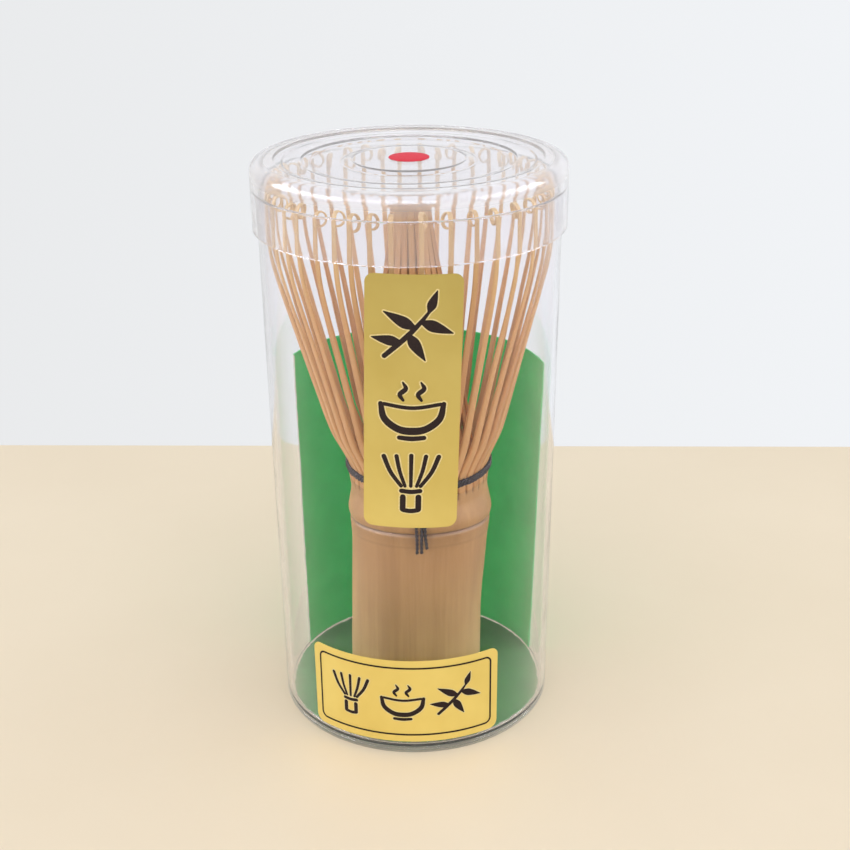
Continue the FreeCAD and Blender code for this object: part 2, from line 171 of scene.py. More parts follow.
def share_between(nodes, source, output, limits, ends=(0.0, 1.0)):
    """A value moved from between two limits to between two ends."""
    node = add(nodes, "ShaderNodeMapRange")
    for entry, value in zip(("From Min", "From Max", "To Min", "To Max"), (*limits, *ends)):
        node.inputs[entry].default_value = value
    link(source, output, node, "Value")
    return node


def coordinates(nodes, source="Object"):
    """Texture coordinates, split into X, Y and Z."""
    where = add(nodes, "ShaderNodeTexCoord")
    split = add(nodes, "ShaderNodeSeparateXYZ")
    link(where, source, split, "Vector")
    return split


def blend(nodes, share, first, second, kind="MIX"):
    """A mix of two colours; a share or colour is a value or a (node, output) pair."""
    node = add(nodes, "ShaderNodeMix", data_type="RGBA", blend_type=kind)
    for entry, value in ((0, share), (6, first), (7, second)):
        if isinstance(value, tuple) and isinstance(value[0], bpy.types.Node):
            link(*value, node, entry)
        else:
            node.inputs[entry].default_value = value
    return node


def height_tone(nodes, low, high, colour_low, colour_high):
    """A colour that changes with the level, between two levels in metres."""
    share = share_between(nodes, coordinates(nodes), "Z", (low, high))
    colours = ramp(nodes, (0.0, colour_low), (1.0, colour_high))
    link(share, "Result", colours, "Fac")
    return colours


def multiply(nodes, first, output, second, share=1.0):
    """One colour times another."""
    return blend(nodes, share, (first, output), (second, "Color"), "MULTIPLY")


def noise(nodes, scale, stretch=(1, 1, 1), detail=4.0, source="Object"):
    """Cloudy noise; scale is its features per metre."""
    where = add(nodes, "ShaderNodeTexCoord")
    mapping = add(nodes, "ShaderNodeMapping", Scale=stretch)
    link(where, source, mapping, "Vector")
    texture = add(nodes, "ShaderNodeTexNoise", Scale=scale, Detail=detail, Roughness=0.55)
    link(mapping, "Vector", texture, "Vector")
    return texture


def bump(nodes, texture, shader, distance, strength=0.6):
    """Raise a texture's relief on a shader's surface; distance is in metres."""
    node = add(nodes, "ShaderNodeBump", Strength=strength, Distance=distance)
    link(texture, "Fac", node, "Height")
    link(node, "Normal", shader, "Normal")


def finish_surface(nodes, texture, shader, roughness, relief, strength, specular):
    """Roughness and relief from one texture, and how strongly the surface mirrors."""
    roughness_from(nodes, texture, shader, *roughness)
    bump(nodes, texture, shader, relief, strength)
    shader.inputs["Specular IOR Level"].default_value = specular


def clouded(nodes, texture, *stops):
    """A colour ramp read by a noise."""
    colours = ramp(nodes, *stops)
    link(texture, "Fac", colours, "Fac")
    return colours


def mix_shaders(nodes, share, first, second):
    """Put a mix of two shaders on the material's output; the share is a value or a (node, output)."""
    mix = add(nodes, "ShaderNodeMixShader")
    if isinstance(share, tuple):
        link(*share, mix, 0)
    else:
        mix.inputs[0].default_value = share
    link(first, "BSDF", mix, 1)
    link(second, "BSDF", mix, 2)
    link(mix, "Shader", nodes["Material Output"], "Surface")


def roughness_from(nodes, texture, shader, low, high):
    """Let a texture move the roughness between two values."""
    spread = share_between(nodes, texture, "Fac", (0.0, 1.0), (low, high))
    link(spread, "Result", shader, "Roughness")


def clear_plastic():
    """Clear polystyrene: glassy, a little violet, scuffed and milky where the mesh says so; the mesh's extra
    haze on the lid's shoulder is a painted highlight.

    Lamps and the room's light shine straight through it.
    """
    material, nodes, shader = new_material("clear_plastic")
    shader.inputs["Base Color"].default_value = (0.975, 0.968, 0.992, 1)
    shader.inputs["IOR"].default_value = 1.45
    shader.inputs["Specular Tint"].default_value = (0.42, 0.42, 0.46, 1)
    # Haze from the mesh: the plastic's own cloudiness, and on the lid's shoulder a painted highlight.
    haze_and_highlight = add(nodes, "ShaderNodeAttribute", attribute_name="haze_and_highlight")
    facing = add(nodes, "ShaderNodeLayerWeight", Blend=0.5)
    rim = add(nodes, "ShaderNodeMath", operation="POWER")
    rim.inputs[1].default_value = 5.0
    link(facing, "Facing", rim, 0)
    clarity = add(nodes, "ShaderNodeMath", operation="MULTIPLY_ADD", use_clamp=True)
    clarity.inputs[1].default_value = -0.3
    link(rim, "Value", clarity, 0)
    clear = add(nodes, "ShaderNodeMath", operation="SUBTRACT")
    clear.inputs[0].default_value = 1.0
    link(haze_and_highlight, "Fac", clear, 1)
    link(clear, "Value", clarity, 2)
    link(clarity, "Value", shader, "Transmission Weight")
    scuffs = noise(nodes, 900, (1, 1, 0.2))
    roughness_from(nodes, scuffs, shader, 0.0, 0.06)
    waves = noise(nodes, 60, (1, 1, 0.6), detail=2.0)
    bump(nodes, waves, shader, 0.00025, 0.25)
    path = add(nodes, "ShaderNodeLightPath")
    lit = add(nodes, "ShaderNodeMath", operation="MAXIMUM")
    link(path, "Is Shadow Ray", lit, 0)
    link(path, "Is Diffuse Ray", lit, 1)
    straight = add(nodes, "ShaderNodeBsdfTransparent", Color=(0.96, 0.96, 0.965, 1))
    mix_shaders(nodes, (lit, "Value"), shader, straight)
    return material


def gold_foil():
    """Satin gold foil label under a matt lacquer, duller and greener towards its top."""
    material, nodes, shader = new_material("gold_foil")
    grain = noise(nodes, 5200, detail=3.0)
    cloud = noise(nodes, 70, detail=3.0)
    gold = clouded(nodes, cloud, (0.3, (0.745, 0.55, 0.135)), (0.7, (0.82, 0.63, 0.175)))
    darkened = height_tone(nodes, 0.03, 0.113, (1, 1, 1), (0.62, 0.63, 0.62))
    link(multiply(nodes, gold, "Color", darkened), 2, shader, "Base Color")
    shader.inputs["Metallic"].default_value = 0.12
    finish_surface(nodes, grain, shader, (0.42, 0.55), 0.00003, 0.5, 0.2)
    return material


def print_ink(name, dark, light):
    """Printed ink or bare foil round it, a little uneven."""
    material, nodes, shader = new_material(name)
    cloud = noise(nodes, 2600)
    link(clouded(nodes, cloud, (0.35, dark), (0.7, light)), "Color", shader, "Base Color")
    finish_surface(nodes, cloud, shader, (0.5, 0.7), 0.00002, 0.4, 0.15)
    return material


def paper(name, dark, light, speck, through_share=0.0):
    """Matt paper or card: clouded colour, fine fibres and a few specks. Thin card lets light through."""
    material, nodes, shader = new_material(name)
    base = clouded(nodes, noise(nodes, 130, detail=6.0), (0.3, dark), (0.7, light))
    fibres = noise(nodes, 1500, (1, 1, 0.35), detail=6.0)
    spots = clouded(nodes, noise(nodes, 2400, detail=2.0), (0.68, (0, 0, 0)), (0.76, (1, 1, 1)))
    mixed = blend(nodes, (spots, "Color"), (base, "Color"), (*speck, 1))
    link(mixed, 2, shader, "Base Color")
    finish_surface(nodes, fibres, shader, (0.65, 0.9), 0.00012, 0.6, 0.3)
    if through_share:
        lit = add(nodes, "ShaderNodeBsdfTranslucent")
        link(mixed, 2, lit, "Color")
        mix_shaders(nodes, through_share, shader, lit)
    return material


def bamboo_skin():
    """The culm's skin: tan with upright bands and fine fibres, with painted green bounce light and a painted
    brightening low down, and dark brown marks from the mesh: darker along the node's groove, a scar, and
    painted shade under the node's swell, in the slits and inside the bore.
    """
    material, nodes, shader = new_material("bamboo_skin")
    bands = noise(nodes, 260, (1, 1, 0.05), detail=3.0)
    fibres = noise(nodes, 2600, (1, 1, 0.02), detail=4.0)
    clouds = noise(nodes, 55, (1, 1, 0.7), detail=3.0)
    tan = clouded(
        nodes, bands,
        (0.25, (0.455, 0.262, 0.11)), (0.5, (0.515, 0.305, 0.132)), (0.75, (0.575, 0.35, 0.16)),
    )
    darkening = clouded(nodes, clouds, (0.3, (0.80, 0.76, 0.70)), (0.6, (1, 1, 1)))
    streaks = clouded(nodes, fibres, (0.35, (0.78, 0.72, 0.66)), (0.6, (1, 1, 1)))
    # Painted green bounce light from the green disc below, and a painted brightening, on the culm's lowest
    # part; a little darker and warmer above it.
    painted_green_bounce = height_tone(nodes, 0.01, 0.04, (1.1, 1.26, 1.12), (1.0, 0.94, 0.86))
    stained = multiply(nodes, tan, "Color", darkening, 0.75)
    streaked = multiply(nodes, stained, 2, streaks, 0.25)
    whole = multiply(nodes, streaked, 2, painted_green_bounce)
    # The mesh's marks, painted in dark brown: darker along the node's groove, a scar, and painted shade
    # under the node's swell, in the slits below the thread and inside the bore.
    stain_and_shade = add(nodes, "ShaderNodeAttribute", attribute_name="stain_and_shade")
    skin = blend(nodes, (stain_and_shade, "Fac"), (whole, 2), (0.16, 0.085, 0.045, 1))
    link(skin, 2, shader, "Base Color")
    roughness_from(nodes, bands, shader, 0.42, 0.6)
    bump(nodes, fibres, shader, 0.00003, 0.4)
    shader.inputs["Specular IOR Level"].default_value = 0.35
    return material


def split_bamboo(name, dark, middle, light):
    """A shaved split: fibres run along it. Its own tone comes from the mesh."""
    material, nodes, shader = new_material(name)
    fibres = noise(nodes, 1, (5.5, 0.35, 1), detail=5.0, source="UV")
    tone = add(nodes, "ShaderNodeAttribute", attribute_name="tone")
    total = add(nodes, "ShaderNodeMath", operation="MULTIPLY_ADD")
    total.inputs[1].default_value = 0.55
    link(fibres, "Fac", total, 0)
    link(tone, "Fac", total, 2)
    colours = ramp(nodes, (0.1, dark), (0.5, middle), (0.95, light))
    link(total, "Value", colours, "Fac")
    yellower = height_tone(nodes, 0.1, 0.123, (1, 1, 1), (0.95, 1.12, 1.05))
    link(multiply(nodes, colours, "Color", yellower), 2, shader, "Base Color")
    finish_surface(nodes, fibres, shader, (0.45, 0.65), 0.00006, 0.5, 0.4)
    return material


def thread_cotton():
    """Dark waxed cotton."""
    material, nodes, shader = new_material("dark_thread")
    fibres = noise(nodes, 4200, detail=4.0)
    dark = clouded(nodes, fibres, (0.3, (0.012, 0.009, 0.013)), (0.7, (0.04, 0.032, 0.04)))
    link(dark, "Color", shader, "Base Color")
    finish_surface(nodes, fibres, shader, (0.55, 0.8), 0.00008, 0.7, 0.2)
    return material


def table_top():
    """Plain pale table, barely mottled."""
    material, nodes, shader = new_material("table_top")
    cloud = noise(nodes, 9, detail=8.0)
    pale = clouded(nodes, cloud, (0.3, (0.82, 0.70, 0.525)), (0.7, (0.86, 0.74, 0.565)))
    link(pale, "Color", shader, "Base Color")
    shader.inputs["Roughness"].default_value = 0.55
    shader.inputs["Specular IOR Level"].default_value = 0.25
    return material


# ---- Mesh helpers ----

@contextmanager
def edited(mesh):
    """A mesh opened for edits, which are written back to it."""
    work = bmesh.new()
    work.from_mesh(mesh)
    yield work
    work.to_mesh(mesh)
    work.free()


def new_piece(name, points, faces, material, body, slot, replaced=(), smooth=True):
    """A mesh piece, its points in millimetres, riding on a body and standing for CAD nodes."""
    mesh = bpy.data.meshes.new(name)
    mesh.from_pydata([tuple(Vector(point) * MM) for point in points], [], faces)
    mesh.validate()
    with edited(mesh) as work:
        bmesh.ops.recalc_face_normals(work, faces=work.faces)
    mesh.polygons.foreach_set("use_smooth", [smooth] * len(mesh.polygons))
    mesh.materials.append(material)
    piece = bpy.data.objects.new(name, mesh)
    bpy.context.scene.collection.objects.link(piece)
    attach(piece, body)
    if replaced:
        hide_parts(*replaced)
    return piece


def ring_faces(first, second, count):
    """Quads between two rings of points that start at the given numbers."""
    return [
        (first + n, first + (n + 1) % count, second + (n + 1) % count, second + n)
        for n in range(count)
    ]


def tube(rings):
    """Points and faces of a tube through rings of as many points each, capped at both ends."""
    count = len(rings[0])
    points = [point for ring in rings for point in ring]
    faces = []
    for number in range(len(rings) - 1):
        faces += ring_faces(number * count, (number + 1) * count, count)
    faces.append(tuple(range(count)))
    faces.append(tuple(reversed(range(len(points) - count, len(points)))))
    return points, faces


def tubes(many):
    """Points and faces of several closed tubes."""
    points, faces = [], []
    for rings in many:
        more, more_faces = tube(rings)
        faces += [tuple(len(points) + corner for corner in face) for face in more_faces]
        points += more
    return points, faces


def fillet(before, corner, after, radius, steps=7):
    """Points of an outline's corner, rounded to a radius, with a support point on either side."""
    back = before - corner
    on = after - corner
    if math.degrees(back.angle(on)) > 176:
        return [corner]
    half = back.angle(on) / 2
    reach = min(radius / math.tan(half), back.length * 0.45, on.length * 0.45)
    radius = reach * math.tan(half)
    bisector = (back.normalized() + on.normalized()).normalized()
    centre = corner + bisector * (radius / math.sin(half))
    first = corner + back.normalized() * reach
    last = corner + on.normalized() * reach
    start = first - centre
    swing = start.angle_signed(last - centre)
    support = min(0.12, (back.length - reach) * 0.3, (on.length - reach) * 0.3)
    points = [first + back.normalized() * support]
    for step in range(steps + 1):
        turn = -swing * step / steps
        points.append(centre + Matrix.Rotation(turn, 2) @ start)
    points.append(last + on.normalized() * support)
    return points


def turned(name, corners, material, body, replaced):
    """A solid turned about the upright axis, from (radius, level, rounding, haze) corners.

    The outline starts and ends on the axis. Haze is how cloudy the plastic is there, from 0 to 1; the high
    haze on the lid's shoulder is a painted highlight.
    """
    count = 256
    outline = [(Vector(corners[0][:2]), corners[0][3])]
    for before, corner, after in zip(corners, corners[1:], corners[2:]):
        for point in fillet(Vector(before[:2]), Vector(corner[:2]), Vector(after[:2]), corner[2]):
            outline.append((point, corner[3]))
    outline.append((Vector(corners[-1][:2]), corners[-1][3]))
    points = [(0, 0, outline[0][0].y)]
    values = [outline[0][1]]
    for point, haze_and_highlight in outline[1:-1]:
        points += [around(TURN * n / count, point.x, point.y) for n in range(count)]
        values += [haze_and_highlight] * count
    points.append((0, 0, outline[-1][0].y))
    values.append(outline[-1][1])
    faces = [(0, 1 + (n + 1) % count, 1 + n) for n in range(count)]
    rings = len(outline) - 2
    for ring in range(rings - 1):
        faces += ring_faces(1 + ring * count, 1 + (ring + 1) * count, count)
    last = 1 + (rings - 1) * count
    faces += [(last + n, last + (n + 1) % count, len(points) - 1) for n in range(count)]
    piece = new_piece(name, points, faces, material, body, "clear_plastic", [replaced])
    keep_tone(piece, "haze_and_highlight", values)


def keep_tone(piece, name, values):
    """Store one number for each point of a piece, for its material to read."""
    layer = piece.data.attributes.new(name, "FLOAT", "POINT")
    layer.data.foreach_set("value", values)


# ---- The case ----

def make_case(material):
    """The cup: a foot ring, a floor raised inside it and a tapering wall."""
    rim = CASE_RIM_RADIUS
    top = CASE_HIGH.z
    inner_low = case_radius(3.0) - CASE_WALL
    turned("case", [
        (0, 0.8, 0, 0.0), (29.2, 0.8, 0.25, 0.03), (29.45, 0, 0.25, 0.05), (CASE_BASE_RADIUS, 0, 0.8, 0.09),
        (case_radius(2.6), 2.6, 0.5, 0.06), (case_radius(4.5), 4.5, 3.0, 0.0),
        (case_radius(118), 118, 2.0, 0.0), (rim, top, 0.35, 0.05),
        (rim - CASE_WALL, top, 0.35, 0.05), (case_radius(118) - CASE_WALL, 118, 2.0, 0.0),
        (case_radius(5) - CASE_WALL, 5, 2.0, 0.0), (inner_low, 2.0, 0.35, 0.0), (0, 2.0, 0, 0.0),
    ], material, "case", "case_body")


def make_lid(material):
    """The lid: a skirt, a ledge over the case's rim, a round shoulder and a top stepped in rings."""
    top = LID_HIGH.z
    middle = 129.95
    wall = 1.2
    skirt = CASE_RIM_RADIUS + 0.05
    chimney = skirt - 0.65
    crown = LID_HIGH.x - 3.6
    ledge = 124.75
    steps = [
        (12.2, middle, 1.6, 0.13), (14.6, 129.5, 1.6, 0.11), (21.2, 129.5, 1.4, 0.1),
        (23.2, 129.9, 1.4, 0.11), (27.1, 129.9, 1.4, 0.1), (29.0, top, 1.4, 0.13),
    ]
    under_steps = [(radius - 0.2, level - wall, rounding, 0.02) for radius, level, rounding, _ in steps]
    turned("lid", [
        # The shoulder's haze of 0.34 whitens it: a painted highlight band.
        (0, middle, 0, 0.1), *steps, (LID_HIGH.x, top, 3.6, 0.34),
        (LID_HIGH.x, 124.4, 1.0, 0.03), (LID_HIGH.x, LID_LOW.z, 0.3, 0.09), (skirt, LID_LOW.z, 0.15, 0.08),
        (skirt, ledge, 0.1, 0.02), (chimney, ledge, 0.1, 0.02), (chimney, top - wall, chimney - crown, 0.02),
        *reversed(under_steps), (0, middle - wall, 0, 0.02),
    ], material, "lid", "case_lid")


# ---- The tines ----

SECTION = [  # a split's rounded section, across and through, from -1 to 1
    (-1.0, -0.45), (-0.86, -0.86), (-0.6, -1.0), (0.6, -1.0), (0.86, -0.86), (1.0, -0.45),
    (1.0, 0.45), (0.86, 0.86), (0.6, 1.0), (-0.6, 1.0), (-0.86, 0.86), (-1.0, 0.45),
]


def directions(line):
    """The way that a line runs at each of its points."""
    return [(after - before).normalized() for before, after in zip([line[0], *line], [*line[1:], line[-1]])]


def strip_rings(stations):
    """Sections of a strip from its stations: a point, the way its width runs, its width and thickness."""
    rings = []
    ways = directions([station[0] for station in stations])
    for along, (point, across, width, thick) in zip(ways, stations):
        across = (across - along * across.dot(along)).normalized()
        out = across.cross(along)
        rings.append([point + across * (u * width / 2) + out * (v * thick / 2) for u, v in SECTION])
    return rings


def add_strip_map(piece, stations):
    """A texture map of strips: across in millimetres and along in centimetres, one strip at a time."""
    layer = piece.data.uv_layers.new(name="strip")
    for loop in piece.data.loops:
        strip, place = divmod(loop.vertex_index, stations * len(SECTION))
        station, corner = divmod(place, len(SECTION))
        u, v = SECTION[corner]
        layer.data[loop.index].uv = (u + 3.1 * strip + 0.4 * v, station * 0.35)


def join_strips(name, strips, tones, material, slot, replaced):
    """One piece of several strips, each a closed solid, with its own tone."""
    points, faces = tubes(strips)
    piece = new_piece(name, points, faces, material, "whisk", slot, [replaced])
    each = len(points) // len(strips)
    keep_tone(piece, "tone", [tone for tone in tones for _ in range(each)])
    add_strip_map(piece, len(strips[0]))
    return piece


OUTER_WIDTHS = [
    (57.0, 1.95), (66.0, 1.85), (78.0, 1.6), (90.0, 1.42), (105.0, 1.22), (118.0, 1.0), (124.0, 0.9),
]
OUTER_REACH = [  # how far a tine has gone from the culm to the case's wall, by level
    (60.5, 0.0), (64.5, 0.115), (69.2, 0.255), (79.0, 0.435), (88.7, 0.61), (98.0, 0.775),
    (105.0, 0.895), (110.5, 0.97), (115.5, 1.0), (121.0, 0.995),
]
SIDE_LEANS = [(-8, 14, -4.0), (52, 40, 8.0)]  # middle and half width of a lean to one side, in degrees


def side_lean(degrees):
    """How far a tine's tip stands round from its root, in degrees, where its neighbours push it."""
    return sum(lean * math.exp(-((degrees - middle) / half) ** 2) for middle, half, lean in SIDE_LEANS)


def outer_tine(number, material):
    """One springy outer tine: flared, pressed upright by the case and rolled in at its tip."""
    rise, curl = 46, 26
    middle = 360 * (number + 0.5) / OUTER_TINES
    signed = (middle + 180) % 360 - 180
    root_angle = math.radians(middle)
    tip_angle = math.radians(middle + side_lean(signed) + random.uniform(-0.9, 0.9))
    root = around(root_angle, OUTER_ROOT_RADIUS - 0.5, 0) + Vector((SPLIT_LEAN, 0, 0))
    tip = around(tip_angle, OUTER_TIP_RADIUS - 0.2, 0)
    curl_level = CURL_LEVEL + random.uniform(-0.55, 0.35)
    curl_radius = random.uniform(1.3, 1.6)
    bow = random.uniform(-0.012, 0.012)
    stations = []
    for station in range(rise):
        level = SPLIT_LEVEL + (curl_level - SPLIT_LEVEL) * station / (rise - 1)
        reach = through(OUTER_REACH, level)
        reach += bow * math.sin(math.pi * smooth_step(60.5, 112.0, level))
        point = root.lerp(tip, reach)
        point.z = level
        turn = root_angle + (tip_angle - root_angle) * smooth_step(60, 100, level)
        thick = 1.0 - 0.62 * smooth_step(62.0, 112.0, level)
        stations.append((point, around(turn + math.pi / 2, 1, 0), through(OUTER_WIDTHS, level), thick))
    inwards = -around(tip_angle, 1, 0)
    sideways = around(tip_angle + math.pi / 2, 1, 0)
    twist = random.choice((-1, 1)) * random.uniform(0.2, 0.8)
    total = math.radians(random.uniform(300, 380))
    start = stations[-1][0]
    for station in range(1, curl + 1):
        share = station / curl
        turned_by = total * share
        radius = curl_radius * (1 - 0.18 * share)
        roll = Matrix.Rotation(twist * smooth_step(0, 0.7, share), 3, "Z")
        centre = start + roll @ inwards * curl_radius
        arm = inwards * (-math.cos(turned_by) * radius)
        arm.z = math.sin(turned_by) * radius * 1.2
        drift = sideways * (twist * 0.9 * share)
        point = centre + roll @ arm + drift
        stations.append((point, roll @ sideways, 0.95 - 0.15 * share, 0.36 - 0.08 * share))
    tone = random.uniform(0.05, 0.42)
    name = f"tine_{number + 1:02d}"
    join_strips(name, [strip_rings(stations)], [tone], material, "bamboo_tine", f"outer_{name}")


def inner_tine(angle, depth):
    """The sections of one inner tine in a layer of the bundle, whose outermost layer is 0."""
    rise, curl = 34, 12
    curled = depth == 0
    inset = 0.85 * depth
    top = INNER_TOP - 1.75 * depth + random.uniform(-0.35, 0.15)
    wander = random.uniform(-0.03, 0.03)
    root = around(angle, INNER_ROOT_RADIUS - inset - 0.3, 0) + Vector((SPLIT_LEAN, 0, 0))
    tip = around(angle + wander, INNER_TIP_RADIUS - inset, 0) + Vector((0.2, 0, 0))
    outwards = around(angle, 1, 0)
    across = around(angle + math.pi / 2, 1, 0)
    stations = []
    for station in range(rise):
        level = SPLIT_LEVEL + (top - SPLIT_LEVEL) * station / (rise - 1)
        reach = max((level - 60.0) / 57.5, 0.0) * 0.9 + 0.1 * smooth_step(60, 118, level)
        point = root.lerp(tip, min(reach, 1.0))
        point.z = level
        width = 1.72 - 0.36 * smooth_step(62.0, 120.0, level)
        stations.append((point, across, width, 0.56 - 0.24 * smooth_step(62.0, 116.0, level)))
    start = stations[-1][0]
    radius = random.uniform(0.55, 0.7) if curled else 0.4
    total = math.radians(random.uniform(150, 235)) if curled else math.radians(35)
    for station in range(1, curl + 1):
        share = station / curl
        arm = outwards * (radius - math.cos(total * share) * radius)
        arm.z = math.sin(total * share) * radius
        stations.append((start + arm, across, 1.36 - 0.3 * share, 0.32))
    return strip_rings(stations)


def make_inner_tines(material):
    """The bundle in its three layers, the outermost with curled tips."""
    for depth, (layer, places) in enumerate((("rim", (0, 2)), ("middle", (1,)), ("core", (3,)))):
        strips, tones = [], []
        for number in range(INNER_PLACES):
            if number % 4 in places:
                strips.append(inner_tine(TURN * number / INNER_PLACES, depth))
                tones.append(random.uniform(0.0, 0.4))
        join_strips(f"bundle_{layer}", strips, tones, material, "bamboo_inner", f"inner_tines_{layer}")


# ---- The culm ----

CULM_SIDE = [  # the culm's radius by level, at its sides
    (2.35, 15.55), (3.2, 15.72), (13.0, 15.68), (24.0, 15.6), (35.0, 15.85), (41.0, 16.02), (44.3, 16.35),
    (45.4, 16.38), (45.9, 15.98), (46.4, 16.42), (48.0, 16.8), (50.0, 16.5), (53.4, 15.87), (57.0, 16.2),
]
CULM_LEAN = [(2.35, 0.0), (13.0, 0.12), (24.0, 0.35), (35.0, 0.95), (44.0, 1.38), (50.0, 1.42), (57.0, 1.2)]
NODE_RISE = 2.2
BORE_RADIUS = 11.3


def make_culm(material):
    """The culm: crooked, with a slanting node, bored from both ends up to the node's wall."""
    count = 6 * OUTER_TINES
    slits = [random.uniform(54.4, 56.4) for _ in range(OUTER_TINES)]
    levels = [CULM_LOW.z + rise for rise in (0, 0.25, 0.8)]
    level = 4.0
    while level < SPLIT_LEVEL - 0.3:
        levels.append(level)
        level += 0.14 if 42.0 < level < 50.0 else 0.22 if level > 53.0 else 0.9
    levels.append(SPLIT_LEVEL)
    rings, darkening = [], []
    for level in levels:
        lean = through(CULM_LEAN, level)
        ring = []
        for step in range(count):
            angle = TURN * step / count
            near_node = smooth_step(30, 42, level) * (1 - smooth_step(50, 56, level))
            read = level - NODE_RISE * math.cos(angle) * near_node
            radius = through(CULM_SIDE, read)
            radius += 0.05 * math.sin(3 * angle + 1) * math.sin(level * 0.13) + 0.02 * math.sin(11 * angle)
            # Slits between the tines below the thread: cut in a little, and painted dark as painted shade.
            slit = smooth_step(0.0, 0.7, level - slits[step // 6]) if step % 6 == 0 else 0.0
            point = around(angle, radius - 0.3 * slit, level)
            ring.append(point + Vector((lean, 0, 0)))
            # Darker along the node's groove, a scar below it, and a band of painted shade under the node's
            # swell; the slits add painted shade.
            groove = math.exp(-((read - 45.95) / 0.42) ** 2) * 0.85
            scar = math.exp(-((read - 42.6) / 0.35) ** 2) * 0.16
            shade = 0.12 * math.exp(-((read - 44.6) / 1.6) ** 2)
            darkening.append(min(groove + scar + shade + 0.9 * slit, 1.0))
        rings.append(ring)

    def bore_ring(lean, level):
        return [around(TURN * n / count, BORE_RADIUS, level) + Vector((lean, 0, 0)) for n in range(count)]

    lower = [bore_ring(0.7, 44.4), bore_ring(0.7, CULM_LOW.z)]
    upper = [bore_ring(SPLIT_LEAN, SPLIT_LEVEL), bore_ring(SPLIT_LEAN, 47.6)]
    points, faces = tube(lower + rings + upper)
    piece = new_piece("culm", points, faces, material, "whisk", "bamboo_culm", ["whisk_handle"])
    # Painted shade inside the bore at both ends.
    keep_tone(piece, "stain_and_shade", [0.35] * (2 * count) + darkening + [0.2] * (2 * count))
    sharpen(piece, 40)


def sharpen(piece, degrees):
    """Keep edges sharper than an angle crisp in smooth shading."""
    with edited(piece.data) as work:
        for edge in work.edges:
            if len(edge.link_faces) == 2 and edge.calc_face_angle(0) > math.radians(degrees):
                edge.smooth = False


# ---- The thread ----

def ply_rings(line, upright, thread_radius, ply_radius, start, sides=8):
    """One ply of a twisted thread along a line; upright is a direction roughly square to the line."""
    rings = []
    travelled = 0.0
    offset = thread_radius - ply_radius
    last = line[0]
    for point, along in zip(line, directions(line)):
        up = (upright - along * upright.dot(along)).normalized()
        side = along.cross(up)
        travelled += (point - last).length
        last = point
        phase = start + travelled * PLY_TWIST
        centre = point + up * (math.sin(phase) * offset) + side * (math.cos(phase) * offset)
        turns = [TURN * step / sides for step in range(sides)]
        rings.append([centre + (up * math.sin(turn) + side * math.cos(turn)) * ply_radius for turn in turns])
    return rings


def thread_piece(name, lines, radius, material, replaced):
    """Several lengths of two-ply thread as one piece."""
    plies = [
        ply_rings(line, upright, radius, radius * PLY_SHARE, start)
        for line, upright in lines
        for start in (0.0, math.pi)
    ]
    return new_piece(name, *tubes(plies), material, "whisk", "dark_thread", [replaced])


def make_thread(material):
    """Turns of thread round the foot of the tines, with stitches that dip between them."""
    steps, turns, pitch = 720, 3, 0.7
    low = THREAD_LOW.z + 0.45
    radius = (THREAD_HIGH.x - THREAD_LOW.x) / 2 - 0.36
    line = []
    for step in range(steps * turns + 1):
        angle = TURN * step / steps
        level = low + pitch * (turns - 1) * step / (steps * turns)
        level += 0.05 * math.sin(angle * OUTER_TINES / 2) + 0.25 * math.sin(angle)
        point = around(angle, radius + 0.03 * math.cos(angle * OUTER_TINES), level)
        line.append(point + Vector((SPLIT_LEAN, 0, 0)))
    thread_piece("thread_turns", [(line, Vector((0, 0, 1)))], 0.42, material, "binding_thread")


def make_tails(material):
    """The knot at the front of the band and the cut ends that hang from it."""
    front = -17.5
    knot_level = 59.6
    lines = []
    for top_x, foot_x, shorter in ((0.55, 0.45, 0.05), (1.45, 1.7, 0.1), (1.9, 2.75, 1.2)):
        drop = knot_level - TAILS_LOW.z - shorter
        line = []
        for step in range(40):
            share = step / 39
            x = top_x + (foot_x - top_x) * share + 0.12 * math.sin(7 * share + top_x * 3)
            y = front + 0.10 * math.sin(5 * share + top_x) * share
            line.append(Vector((x, y, knot_level - drop * share)))
        lines.append((line, Vector((1, 0, 0))))
    line = []
    for step in range(60):
        turn = TURN * 1.4 * step / 59
        x = 1.2 + 1.25 * math.cos(turn)
        y = front - 0.3 + 0.22 * math.sin(turn * 1.5)
        line.append(Vector((x, y, knot_level + 0.42 * math.sin(turn))))
    lines.append((line, Vector((0, 1, 0.2))))
    thread_piece("thread_ends", lines, 0.4, material, "thread_tails")


# ---- Paper pieces ----

